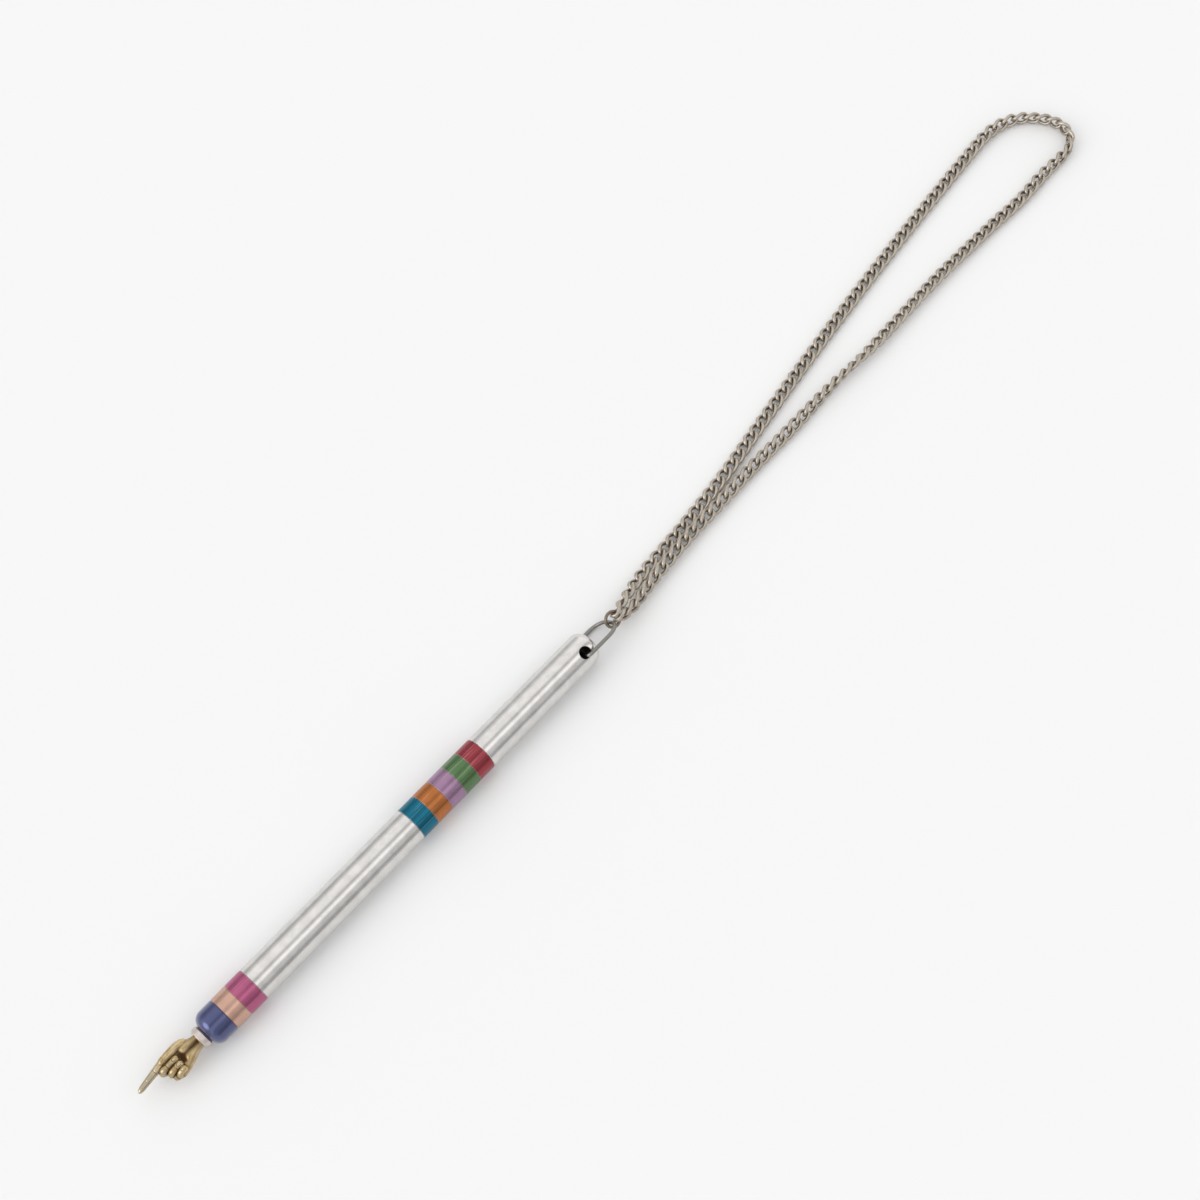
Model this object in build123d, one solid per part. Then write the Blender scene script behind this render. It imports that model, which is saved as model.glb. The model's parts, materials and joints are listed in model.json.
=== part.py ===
from build123d import *
import math
import os

# Torah pointer lying on a table: a stacked round rod with a pointing hand at -X and, at +X,
# a wire loop, a jump ring and a flat curb chain closed on itself. Millimetres, +Z up.
# The origin lies on the table, midway between the fingertip and the wire loop's far end.

# Rod: round bar, with every stacked piece turned to the same diameter
rod_d = 10.0
fit_gap = 0.1

# Lengths along the rod, from the fingertip to the domed end
hand_length = 18.5
collar_length = 2.1
bead_length = 6.6
peach_length = 4.6
magenta_length = 5.4
lower_shaft_length = 56.1
band_length = 5.3
upper_shaft_length = 43.3

# Collar, bead and domed end
collar_d = 6.0
bead_nose_radius = 2.8
dome_radius = 3.2
rounding_flats = 3

# What holds the stack together: the hand's tail and the stud between the two shafts
tail_d = 3.0
tail_grip = 9.0
stud_d = 3.0
stud_grip = 9.0
blind_room = 0.8

# Hand, right, palm up. Each station of a limb is its distance from the wrist's end towards the
# fingertip, its sideways place and height from the rod's axis, its half width and half thickness.
palm = (
    (0.0, 0.0, 0.0, 1.9, 1.7),
    (1.6, 0.0, 0.0, 2.3, 1.8),
    (4.2, 0.15, -0.05, 3.5, 2.0),
    (7.0, 0.05, -0.15, 3.95, 1.9),
    (9.4, 0.0, -0.4, 3.65, 1.5),
    (10.3, 0.0, -0.5, 3.1, 0.9),
)
index_finger = (
    (6.0, 2.6, -0.2, 1.15, 1.25),
    (10.0, 2.5, 0.0, 1.2, 1.2),
    (12.8, 2.2, 0.05, 1.02, 1.02),
    (15.6, 1.8, 0.1, 0.88, 0.88),
    (17.3, 1.55, 0.1, 0.78, 0.78),
    (18.2, 1.42, 0.1, 0.5, 0.5),
    (hand_length, 1.42, 0.1, 0.18, 0.18),
)
thumb = (
    (2.4, 2.2, 0.5, 0.9, 0.9),
    (4.4, 2.6, 1.0, 1.25, 1.2),
    (7.4, 2.5, 1.7, 1.1, 1.05),
    (9.6, 2.35, 2.0, 0.95, 0.9),
    (10.4, 2.3, 2.05, 0.5, 0.45),
)
finger_radius = 0.88
finger_rise = 1.6
fingertip_back = 6.1
curled_fingers = ((12.2, 0.45), (10.9, -1.3), (9.5, -2.95))
limb_sides = 8

# Cross hole and the wire loop that hangs in it, both leaning over to -Y at the top
bent_wire_sides = 6
hole_d = 3.6
hole_from_end = 4.6
hole_lean = 28.5
loop_lean = 41.0
loop_wire = 1.1
loop_reach = 12.6
loop_leg_gap = 0.15
loop_base_bend = 1.2
loop_apex_bend = 4.5

# Jump ring on the loop's far bar
ring_wire = 0.9
ring_mean_radius = 2.2
ring_gap = 0.05

# Curb chain: each link is an oval of wire, wrung by the same angle at both of its ends
link_pitch = 3.65
link_slack = 0.22
link_width = 4.35
link_wire = 1.05
link_wring = 48.0
link_stations = 6
link_bar_sides = 4
link_bar_radius = 0.42

# Chain's route on the table, from the jump ring out along the +Y strand and back: distance
# beyond the ring's centre, sideways place, and lift above where a link lies flat
table_gap = 0.04
chain_route = (
    (1.3, 0.6, 4.3),
    (5.6, 1.5, 3.75),
    (11.5, 3.1, 2.2),
    (18.5, 4.2, 0.8),
    (29.0, 4.75, 0.05),
    (43.0, 6.0, 0.0),
    (58.0, 7.7, 0.0),
    (76.0, 10.6, 0.0),
    (100.0, 14.2, 0.0),
    (128.0, 17.9, 0.0),
    (155.0, 21.0, 0.0),
    (178.0, 23.2, 0.0),
    (195.0, 24.8, 0.2),
    (208.5, 25.8, 0.8),
    (217.6, 22.8, 1.0),
    (223.2, 16.7, 1.0),
    (225.6, 11.0, 1.0),
    (224.7, 5.9, 1.1),
    (220.4, 2.6, 1.1),
    (214.0, 2.2, 1.0),
    (205.5, 2.8, 0.55),
    (194.0, 2.0, 0.1),
    (180.0, 3.0, 0.15),
    (166.0, 3.3, 0.35),
    (152.0, 3.65, 0.45),
    (132.0, 3.1, 0.6),
    (118.0, 2.6, 0.9),
    (106.5, 3.3, 1.3),
    (95.0, 3.25, 1.0),
    (80.0, 2.75, 0.8),
    (64.0, 3.05, 0.8),
    (50.0, 2.4, 1.1),
    (38.5, 2.25, 1.4),
    (28.5, 1.55, 1.7),
    (18.5, 0.55, 2.0),
    (11.5, -0.5, 2.2),
    (5.8, -1.6, 2.3),
    (1.15, -0.75, 3.2),
)
run_share = 0.45

# How the chain rolls about its own line: distance along it, and the roll there in degrees.
# It lies flat at multiples of 180, and stands on edge halfway between.
roll_from_ring = [(0.0, 100.0), (25.0, 180.0), (205.0, 180.0), (222.0, 270.0), (243.0, 270.0)]
roll_after_bend = [(264.0, 360.0), (290.0, 368.0), (340.0, 390.0), (360.0, 450.0), (380.0, 505.0)]
roll_into_ring = [(25.0, 505.0), (0.0, 450.0)]

# Stretches of the chain, each with the distance along it where the stretch ends; the last
# one runs on to the ring
stretch_ends = {"chain_near_left": 62.0, "chain_left": 188.0, "chain_bend": 268.0, "chain_right": 406.0}
last_stretch = "chain_near_right"

# Stations along X
rod_radius = rod_d / 2
bands = ("teal_ring", "orange_ring", "lilac_ring", "green_ring", "red_ring")
nose_length = collar_length + bead_length + peach_length + magenta_length
stack_length = len(bands) * band_length
rod_length = hand_length + nose_length + lower_shaft_length + stack_length + upper_shaft_length
fingertip_x = -(rod_length - hole_from_end + loop_reach + loop_wire / 2) / 2
wrist_x = fingertip_x + hand_length
bead_x = wrist_x + collar_length
peach_x = bead_x + bead_length
magenta_x = peach_x + peach_length
lower_x = magenta_x + magenta_length
bands_x = lower_x + lower_shaft_length
upper_x = bands_x + stack_length
end_x = upper_x + upper_shaft_length
hole_x = end_x - hole_from_end
apex_x = hole_x + loop_reach
ring_x = apex_x + ring_mean_radius - (ring_wire + loop_wire) / 2 - ring_gap

tail_bore = tail_d / 2 + fit_gap
stud_bore = stud_d / 2 + fit_gap
on_axis = Pos(0, 0, rod_radius)


def leaning(degrees):
    """Direction across the rod that leans over to -Y at its top by the given angle."""
    angle = math.radians(degrees)
    return Vector(0, -math.sin(angle), math.cos(angle))


def turned(points):
    """Solid of revolution about the rod's axis, from its half section in X and radius."""
    return on_axis * revolve(make_face(Polyline(*points, close=True)), Axis.X)


def turned_ring(start, length, bore, outer_radius=rod_radius):
    """Plain ring, bored to pass the stud or the tail."""
    end = start + length
    return turned([(start, bore), (start, outer_radius), (end, outer_radius), (end, bore)])


def rounding(end, inward, radius):
    """Rounded outer corner at a bar's end, in a few flats from the end face out to the side."""
    turns = [math.pi / 2 * step / rounding_flats for step in range(rounding_flats + 1)]
    side = rod_radius - radius
    return [(end + inward * radius * (1 - math.cos(turn)), side + radius * math.sin(turn)) for turn in turns]


def nose_bead():
    """Bead whose front corner is well rounded, seated on the peach ring."""
    front = rounding(bead_x, 1, bead_nose_radius)
    return turned([(bead_x, tail_bore), *front, (peach_x, rod_radius), (peach_x, tail_bore)])


def lower_shaft():
    """Plain bar with a blind hole at each end, for the hand's tail and for the stud."""
    tail_end = lower_x + tail_grip + blind_room
    stud_end = bands_x - stud_grip - blind_room
    return turned(
        [
            (lower_x, tail_bore),
            (lower_x, rod_radius),
            (bands_x, rod_radius),
            (bands_x, stud_bore),
            (stud_end, stud_bore),
            (stud_end, 0),
            (tail_end, 0),
            (tail_end, tail_bore),
        ]
    )


def upper_shaft():
    """Bar with a blind hole for the stud, a domed end and the leaning cross hole."""
    stud_end = upper_x + stud_grip + blind_room
    dome = rounding(end_x, -1, dome_radius)
    dome.reverse()
    side = [(upper_x, stud_bore), (upper_x, rod_radius)]
    bar = turned(side + dome + [(end_x, 0), (stud_end, 0), (stud_end, stud_bore)])
    across = Plane(origin=(hole_x, 0, rod_radius), x_dir=(1, 0, 0), z_dir=leaning(hole_lean))
    return bar - across * Cylinder(hole_d / 2, 2 * rod_d)


def round_bar(start, length, diameter):
    """Plain round bar on the rod's axis."""
    return turned([(start, 0), (start, diameter / 2), (start + length, diameter / 2), (start + length, 0)])


def faceted(rings, closed):
    """Solid of flat triangles around rings of points: joined end to end, or capped at both ends."""
    pairs = list(zip(rings, rings[1:]))
    if closed:
        pairs.append((rings[-1], rings[0]))
    facets = []
    for here, there in pairs:
        for corner in range(len(here)):
            beside = (corner + 1) % len(here)
            facets.append(Face(Wire.make_polygon([here[corner], there[corner], there[beside]])))
            facets.append(Face(Wire.make_polygon([here[corner], there[beside], here[beside]])))
    if not closed:
        facets.append(Face(Wire.make_polygon(rings[0])))
        facets.append(Face(Wire.make_polygon(rings[-1])))
    return Solid(Shell(facets))


def limb(stations):
    """Palm, finger or thumb: a tube of oval rings, each square to the line through its neighbours."""
    centres = [Vector(wrist_x - back, side, rod_radius + up) for back, side, up, _, _ in stations]
    rings = []
    for number, (_, _, _, half_width, half_thick) in enumerate(stations):
        ahead = centres[min(number + 1, len(centres) - 1)]
        behind = centres[max(number - 1, 0)]
        along = (ahead - behind).normalized()
        across = (Vector(0, 1, 0) - along * along.Y).normalized() * half_width
        through = along.cross(across).normalized() * half_thick
        turns = [2 * math.pi * side / limb_sides for side in range(limb_sides)]
        rings.append([centres[number] + across * math.cos(turn) + through * math.sin(turn) for turn in turns])
    return faceted(rings, closed=False)


def curled_finger(front, side):
    """Finger that runs out from the palm, folds up at its front and comes back over the palm."""
    radius = finger_radius
    return limb(
        (
            (fingertip_back, side, -1.0, radius, radius),
            (front - 1.8, side, -1.0, radius, radius),
            (front - 1.05, side, -0.6, radius, radius),
            (front - 0.88, side, 0.35, radius, radius),
            (front - 1.25, side, finger_rise - 0.4, radius, radius),
            (front - 2.1, side, finger_rise, radius, radius),
            (fingertip_back + 0.6, side, finger_rise, radius * 0.95, radius * 0.9),
            (fingertip_back, side, finger_rise - 0.05, radius * 0.5, radius * 0.5),
        )
    )


def hand():
    """Pointing right hand, palm up, with the plain tail that carries the nose pieces."""
    tail = round_bar(wrist_x, nose_length + tail_grip, tail_d)
    fingers = [curled_finger(front, side) for front, side in curled_fingers]
    return tail + [limb(palm), limb(index_finger), limb(thumb), *fingers]


def wire_loop():
    """Bent wire: its bar lies in the cross hole, its legs pass the rod's end on both sides."""
    half_span = rod_radius + loop_leg_gap + loop_wire / 2
    corners = ((0, half_span), (loop_reach, half_span), (loop_reach, -half_span), (0, -half_span))
    bends = (loop_base_bend, loop_apex_bend, loop_apex_bend, loop_base_bend)
    path = FilletPolyline(*corners, radius=bends, close=True)
    section = Plane(origin=path @ 0, z_dir=path % 0) * RegularPolygon(loop_wire / 2, bent_wire_sides)
    face_on = Vector(1, 0, 0).cross(leaning(loop_lean))
    return Plane(origin=(hole_x, 0, rod_radius), x_dir=(1, 0, 0), z_dir=face_on) * sweep(section, path=path)


def jump_ring():
    """Round ring that hangs on the loop's far bar and gathers both ends of the chain."""
    section = Plane.XZ * Pos(ring_mean_radius, 0) * RegularPolygon(ring_wire / 2, bent_wire_sides)
    lying = Plane(origin=(ring_x, 0, rod_radius), x_dir=(1, 0, 0), z_dir=leaning(loop_lean))
    return lying * revolve(section, Axis.Z)


def link_centre(degrees):
    """Middle of a link's wire, at an angle around the oval from its +X end."""
    turn = math.radians(degrees)
    twist = -math.radians(link_wring) * math.cos(turn)
    forward = (link_pitch + link_slack + link_wire) / 2 * math.cos(turn)
    side = (link_width - link_wire) / 2 * math.sin(turn)
    return Vector(forward, side * math.cos(twist), side * math.sin(twist))


def lying_height():
    """Height of a flat link's centre above the table, under the round wire's lowest place."""
    return max(link_centre(degrees).Z for degrees in range(360)) + link_wire / 2 + table_gap


def faceted_link():
    """One curb link about its own centre, with a square bar inside the round wire's place."""
    step = 360 / link_stations
    rings = []
    for station in range(link_stations):
        turn = (station + 0.5) * step
        middle = link_centre(turn)
        along = (link_centre(turn + step / 2) - link_centre(turn - step / 2)).normalized()
        outward = (middle - along * middle.dot(along)).normalized()
        upward = along.cross(outward)
        corners = []
        for corner in range(link_bar_sides):
            angle = (corner + 0.5) * 2 * math.pi / link_bar_sides
            spoke = outward * math.cos(angle) + upward * math.sin(angle)
            corners.append(middle + spoke * link_bar_radius)
        rings.append(corners)
    return faceted(rings, closed=True)


def chain_path():
    """Line of the chain: straight runs joined by arcs that touch them."""
    points = [Vector(ring_x + x, y, lying_height() + lift) for x, y, lift in chain_route]
    radii = []
    for before, corner, after in zip(points, points[1:], points[2:]):
        shorter = min((corner - before).length, (after - corner).length)
        turn = math.radians((corner - before).get_angle(after - corner))
        radii.append(run_share * shorter / math.tan(turn / 2))
    print("chain bend radii, mm:", [round(radius, 1) for radius in radii])
    return FilletPolyline(*points, radius=radii)


def roll_at(distance, length):
    """Roll of the chain about its line, straight between the given places."""
    places = roll_from_ring + roll_after_bend + [(length - back, roll) for back, roll in roll_into_ring]
    for (start, first), (end, last) in zip(places, places[1:]):
        if distance <= end:
            return first + (last - first) * (distance - start) / (end - start)
    return places[-1][1]


def chain_stretches():
    """Links of the whole chain, each threaded through the one before it, by stretch."""
    link = faceted_link()
    path = chain_path()
    count = math.ceil(path.length / link_pitch)
    pitch = path.length / count
    print("chain length, mm:", round(path.length, 1), "links:", count)
    joints = [path.position_at(index / count) for index in range(count + 1)]
    stretches = {name: [] for name in [*stretch_ends, last_stretch]}
    for index in range(count):
        distance = (index + 0.5) * pitch
        along = (joints[index + 1] - joints[index]).normalized()
        across = Vector(0, 0, 1).cross(along).normalized()
        roll = math.radians(roll_at(distance, path.length))
        facing = along.cross(across) * math.cos(roll) - across * math.sin(roll)
        place = Plane(origin=(joints[index] + joints[index + 1]) / 2, x_dir=along, z_dir=facing)
        name = next((stretch for stretch, end in stretch_ends.items() if distance < end), last_stretch)
        stretches[name].append(link.moved(place.location))
    return {name: Compound(children=links) for name, links in stretches.items()}


pieces = {
    "hand": hand(),
    "wrist_collar": turned_ring(wrist_x, collar_length, tail_bore, collar_d / 2),
    "nose_bead": nose_bead(),
    "peach_ring": turned_ring(peach_x, peach_length, tail_bore),
    "magenta_ring": turned_ring(magenta_x, magenta_length, tail_bore),
    "lower_shaft": lower_shaft(),
    "joining_stud": round_bar(bands_x - stud_grip, stack_length + 2 * stud_grip, stud_d),
    "upper_shaft": upper_shaft(),
    "wire_loop": wire_loop(),
    "jump_ring": jump_ring(),
}
for number, band in enumerate(bands):
    pieces[band] = turned_ring(bands_x + number * band_length, band_length, stud_bore)
pieces.update(chain_stretches())

os.makedirs("parts", exist_ok=True)
for name, piece in pieces.items():
    export_step(piece, f"parts/{name}.step")
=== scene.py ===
# %% [markdown]
# A Torah pointer lies on a table: a round rod of stacked metal rings with a small pointing hand at
# one end, and a wire loop, a jump ring and a closed curb chain at the other. The solids come from
# the CAD frame, and every piece here is placed by the frame's own boxes and joints.

# %% Frame and measures
import json
import math

import bmesh
import bpy
from mathutils import Matrix, Vector


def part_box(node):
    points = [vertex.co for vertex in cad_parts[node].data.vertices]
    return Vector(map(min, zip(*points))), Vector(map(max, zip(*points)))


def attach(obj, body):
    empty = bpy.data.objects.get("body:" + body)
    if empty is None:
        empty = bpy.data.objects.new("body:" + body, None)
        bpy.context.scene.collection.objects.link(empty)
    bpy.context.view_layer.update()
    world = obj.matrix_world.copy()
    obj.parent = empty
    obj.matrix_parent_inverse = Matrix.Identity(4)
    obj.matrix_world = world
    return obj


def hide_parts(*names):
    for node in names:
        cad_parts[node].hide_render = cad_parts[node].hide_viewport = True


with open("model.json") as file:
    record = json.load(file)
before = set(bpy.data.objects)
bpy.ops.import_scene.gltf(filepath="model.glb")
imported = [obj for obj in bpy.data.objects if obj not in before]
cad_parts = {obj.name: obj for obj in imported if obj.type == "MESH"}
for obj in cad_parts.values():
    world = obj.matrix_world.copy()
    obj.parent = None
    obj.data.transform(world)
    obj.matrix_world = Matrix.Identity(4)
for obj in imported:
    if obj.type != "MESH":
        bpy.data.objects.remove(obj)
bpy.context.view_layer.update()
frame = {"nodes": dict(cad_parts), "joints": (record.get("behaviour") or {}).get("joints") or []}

MM = 0.001
bead_low, bead_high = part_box("nose_bead")
rod_radius = (bead_high.z - bead_low.z) / 2
rod_height = (bead_high.z + bead_low.z) / 2
print("rod radius and height of its axis, mm:", round(rod_radius / MM, 2), round(rod_height / MM, 2))

# %% [markdown]
# Node trees could be written as long lists of nodes and links, but they are easier to read as sums.
# The class below wraps one output socket, and adding or multiplying such sockets adds the Math
# nodes. Every other node comes from its one method, which sets the node's own settings first and
# then its sockets.

# %% Sockets that join in Python expressions
class Socket:
    def __init__(self, tree, socket):
        self.tree = tree
        self.socket = socket

    @staticmethod
    def node(tree, kind, settings=None, inputs=None, output=0):
        made = tree.nodes.new(kind)
        for name, value in (settings or {}).items():
            if name == "stops":
                ramp = made.color_ramp.elements
                while len(ramp) < len(value):
                    ramp.new(0.5)
                for stop, (place, colour) in zip(ramp, value):
                    stop.position = place
                    stop.color = colour
            else:
                setattr(made, name, value)
        for name, value in (inputs or {}).items():
            if isinstance(value, Socket):
                tree.links.new(value.socket, made.inputs[name])
            else:
                made.inputs[name].default_value = value
        return Socket(tree, made.outputs[output])

    def other(self, name):
        return Socket(self.tree, self.socket.node.outputs[name])

    def math(self, operation, *values):
        return Socket.node(self.tree, "ShaderNodeMath", {"operation": operation}, dict(enumerate(values)))

    def __add__(self, value):
        return self.math("ADD", self, value)

    def __radd__(self, value):
        return self.math("ADD", value, self)

    def __sub__(self, value):
        return self.math("SUBTRACT", self, value)

    def __rsub__(self, value):
        return self.math("SUBTRACT", value, self)

    def __mul__(self, value):
        return self.math("MULTIPLY", self, value)

    def __rmul__(self, value):
        return self.math("MULTIPLY", value, self)


def link_up(tree, value, node, name):
    tree.links.new(value.socket, node.inputs[name])


print("sockets now join with + - *")

# %% [markdown]
# The photograph looks down at the table steeply, about 65 degrees, from half a metre away, with
# the rod running from lower left to upper right. The view could be framed at the end, but the
# chain's lie on the table is judged through the camera, so it stands there from the start.

# %% Camera
camera_data = bpy.data.cameras.new("camera")
camera = bpy.data.objects.new("camera", camera_data)
bpy.context.collection.objects.link(camera)
bpy.context.scene.camera = camera
camera_target = Vector((90.2, 8.1, 0.0)) * MM
camera_stand = Vector((-153.97, -138.48, 444.1)) * MM
camera.location = camera_target + camera_stand
camera.rotation_euler = (camera_target - camera.location).to_track_quat("-Z", "Y").to_euler()
camera_data.sensor_width = 36.0
camera_data.lens = 52.59
camera_data.clip_start = 0.01
print("camera to target, mm:", round((camera_target - camera.location).length / MM, 1))

# %% [markdown]
# The real chain is limp and lies in a long narrow loop. One bevelled curve could stand for it, but
# the photograph shows its links, so only its line is a curve: a smooth NURBS spline with the route's
# points as its controls, up from the jump ring, out along one strand, round the far bend on edge,
# and back. The links then follow points read from that spline. A link that lies flat on the table
# sets the height of the line, so one link's sizes come first.

# %% Sizes of one link, mm
LINK_PITCH, LINK_SLACK, LINK_WIDTH, LINK_WIRE = 3.65, 0.25, 4.35, 1.16
LINK_WRING = math.radians(50.0)
TABLE_GAP = 0.04
half_length = (LINK_PITCH + LINK_SLACK + LINK_WIRE) / 2
half_width = (LINK_WIDTH - LINK_WIRE) / 2
around = [math.radians(degrees) for degrees in range(360)]
link_rise = max(half_width * math.sin(a) * math.sin(-LINK_WRING * math.cos(a)) for a in around)
lying = link_rise + LINK_WIRE / 2 + TABLE_GAP
print("link's half length, half width and height:", [round(v, 2) for v in (half_length, half_width, lying)])

# %% The chain's line
ring_low, ring_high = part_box("jump_ring")
ring_x = (ring_low.x + ring_high.x) / 2
CHAIN_ROUTE = [
    (1.3, 0.6, 4.3), (5.6, 1.5, 3.75), (11.5, 3.1, 2.2), (18.5, 4.2, 0.8), (29.0, 4.75, 0.05),
    (43.0, 6.0, 0.0), (58.0, 7.7, 0.0), (76.0, 10.6, 0.0), (100.0, 14.2, 0.0), (128.0, 17.9, 0.0),
    (155.0, 21.0, 0.0), (178.0, 23.2, 0.0), (195.0, 24.7, 0.2), (208.5, 25.65, 0.8), (217.5, 22.7, 1.0),
    (223.0, 16.7, 1.0), (225.4, 11.0, 1.0), (224.5, 5.9, 1.1), (220.4, 2.6, 1.1), (214.0, 2.2, 1.0),
    (205.5, 2.8, 0.55), (194.0, 2.0, 0.1), (180.0, 3.0, 0.15), (166.0, 3.3, 0.35), (152.0, 3.65, 0.45),
    (132.0, 3.1, 0.6), (118.0, 2.6, 0.9), (106.5, 3.3, 1.3), (95.0, 3.25, 1.0), (80.0, 2.75, 0.8),
    (64.0, 3.05, 0.8), (50.0, 2.4, 1.1), (38.5, 2.25, 1.4), (28.5, 1.55, 1.7), (18.5, 0.55, 2.0),
    (11.5, -0.5, 2.2), (5.8, -1.6, 2.3), (1.15, -0.75, 3.2),
]
route_curve = bpy.data.curves.new("chain_route", "CURVE")
route_curve.dimensions = "3D"
route_curve.resolution_u = 24
spline = route_curve.splines.new("NURBS")
spline.points.add(len(CHAIN_ROUTE) - 1)
for point, (along, side, lift) in zip(spline.points, CHAIN_ROUTE):
    point.co = (ring_x + along * MM, side * MM, (lying + lift) * MM, 1.0)
spline.order_u = 3
spline.use_endpoint_u = True
route_object = bpy.data.objects.new("chain_route", route_curve)
bpy.context.collection.objects.link(route_object)
line_mesh = bpy.data.meshes.new_from_object(route_object)
chain_line = [vertex.co.copy() for vertex in line_mesh.vertices]
bpy.data.objects.remove(route_object)
distances = [0.0]
for here, there in zip(chain_line, chain_line[1:]):
    distances.append(distances[-1] + (there - here).length)
chain_length = distances[-1]
print("chain line, mm:", round(chain_length / MM, 1), "points:", len(chain_line))

# %% [markdown]
# A curb link is an oval of wire wrung at both ends, so that neighbours can lie almost flat on each
# other. An array along the curve would turn every link alike, but the real chain rolls about its own
# line: flat in the strands, on edge in the far bend, and once over at the thin spot in one strand.
# So each link's place and turn are worked out here and kept as attributes of one point, for Geometry
# Nodes to hang a link on. The rolls are pairs of a distance along the chain, in mm, and degrees.

# %% Places and turns of the links
END_RUN = 25.0
ROLL_PLACES = [(0.0, 100.0), (END_RUN, 180.0), (205.0, 180.0), (222.0, 270.0), (243.0, 270.0)]
ROLL_PLACES += [(264.0, 360.0), (290.0, 368.0), (340.0, 390.0), (360.0, 450.0), (380.0, 505.0)]
ROLL_PLACES += [(chain_length / MM - END_RUN, 505.0), (chain_length / MM, 450.0)]


def on_line(distance):
    for index in range(1, len(distances)):
        if distance <= distances[index] or index == len(distances) - 1:
            share = (distance - distances[index - 1]) / (distances[index] - distances[index - 1])
            return chain_line[index - 1].lerp(chain_line[index], share)


def roll_at(distance):
    for (start, first), (end, last) in zip(ROLL_PLACES, ROLL_PLACES[1:]):
        if distance <= end:
            return math.radians(first + (last - first) * (distance - start) / (end - start))
    return math.radians(ROLL_PLACES[-1][1])


link_count = math.ceil(chain_length / MM / LINK_PITCH)
link_step = chain_length / link_count
link_ends = [on_line(index * link_step) for index in range(link_count + 1)]
link_places = []
link_turns = []
for index in range(link_count):
    forward = (link_ends[index + 1] - link_ends[index]).normalized()
    across = Vector((0, 0, 1)).cross(forward).normalized()
    roll = roll_at((index + 0.5) * link_step / MM)
    facing = forward.cross(across) * math.cos(roll) - across * math.sin(roll)
    turn = Matrix((forward, facing.cross(forward), facing)).transposed()
    link_places.append((link_ends[index] + link_ends[index + 1]) / 2)
    link_turns.append(turn.to_euler("XYZ"))
print("links:", link_count, "pitch, mm:", round(link_step / MM, 3))

# %% [markdown]
# The trees below are made in the script with named inputs, so that one tree can make several pieces
# of its kind. A modifier's inputs are set by their sockets' identifiers before the object is first
# evaluated, then the evaluated result becomes a plain mesh at the origin and the modifier is gone.

# %% Helpers that build a tree
FLOAT, WHOLE, MATERIAL = "NodeSocketFloat", "NodeSocketInt", "NodeSocketMaterial"


def new_tree(name, sizes):
    tree = bpy.data.node_groups.new(name, "GeometryNodeTree")
    tree.interface.new_socket("Geometry", in_out="INPUT", socket_type="NodeSocketGeometry")
    for size, kind in sizes.items():
        tree.interface.new_socket(size, in_out="INPUT", socket_type=kind)
    tree.interface.new_socket("Geometry", in_out="OUTPUT", socket_type="NodeSocketGeometry")
    group_in = tree.nodes.new("NodeGroupInput")
    inputs = {socket.name: Socket(tree, socket) for socket in group_in.outputs if socket.name}
    return tree, inputs


def close_tree(tree, geometry, material):
    real = Socket.node(tree, "GeometryNodeRealizeInstances", None, {"Geometry": geometry})
    done = Socket.node(tree, "GeometryNodeSetMaterial", None, {"Geometry": real, "Material": material})
    tree.links.new(done.socket, tree.nodes.new("NodeGroupOutput").inputs["Geometry"])
    print("tree", tree.name, "nodes:", len(tree.nodes))


def sweep(tree, line, section, caps=False):
    inputs = {"Curve": line, "Profile Curve": section, "Fill Caps": caps}
    return Socket.node(tree, "GeometryNodeCurveToMesh", None, inputs)


def circle(tree, steps, radius):
    inputs = {"Resolution": steps, "Radius": radius}
    return Socket.node(tree, "GeometryNodeCurvePrimitiveCircle", None, inputs)


print("kinds of inputs:", FLOAT, WHOLE, MATERIAL)

# %% Helpers that run a tree
def plain_mesh(piece):
    evaluated = piece.evaluated_get(bpy.context.evaluated_depsgraph_get())
    return bpy.data.meshes.new_from_object(evaluated)


def add_piece(name, mesh):
    piece = bpy.data.objects.new(name, mesh)
    bpy.context.collection.objects.link(piece)
    return piece


def run_tree(name, tree, mesh, sizes):
    source = add_piece(name + "_source", mesh)
    modifier = source.modifiers.new("nodes", "NODES")
    modifier.node_group = tree
    sockets = [item for item in tree.interface.items_tree if item.in_out == "INPUT"]
    identifiers = {socket.name: socket.identifier for socket in sockets}
    for size, value in sizes.items():
        modifier[identifiers[size]] = value
    result = plain_mesh(source)
    result.name = name
    bpy.data.objects.remove(source)
    print(name, "faces:", len(result.polygons))
    return add_piece(name, result)


def point_mesh(name, points, edges=()):
    mesh = bpy.data.meshes.new(name)
    mesh.from_pydata([tuple(point) for point in points], list(edges), [])
    return mesh


# %% [markdown]
# Now the finishes. Image textures could carry the marks of wear, but noise needs no file and no
# unwrapping, and it has the same size on every piece. These helpers make a new material and the few
# nodes that each finish needs. All of them read Object coordinates or an attribute of the piece.

# %% Helpers for finishes
def new_material(name):
    material = bpy.data.materials.new(name)
    material.use_nodes = True
    tree = material.node_tree
    tree.nodes.clear()
    surface = tree.nodes.new("ShaderNodeBsdfPrincipled")
    output = tree.nodes.new("ShaderNodeOutputMaterial")
    tree.links.new(surface.outputs[0], output.inputs["Surface"])
    print("finish:", name)
    return material, tree, surface


def blend(tree, share, first, second):
    ends = [end if isinstance(end, Socket) else (*end, 1.0) for end in (first, second)]
    inputs = {0: share, 6: ends[0], 7: ends[1]}
    return Socket.node(tree, "ShaderNodeMix", {"data_type": "RGBA"}, inputs, 2)


def smooth_step(value, low, high):
    settings = {"interpolation_type": "SMOOTHSTEP"}
    return Socket.node(value.tree, "ShaderNodeMapRange", settings, {0: value, 1: low, 2: high})


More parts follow.
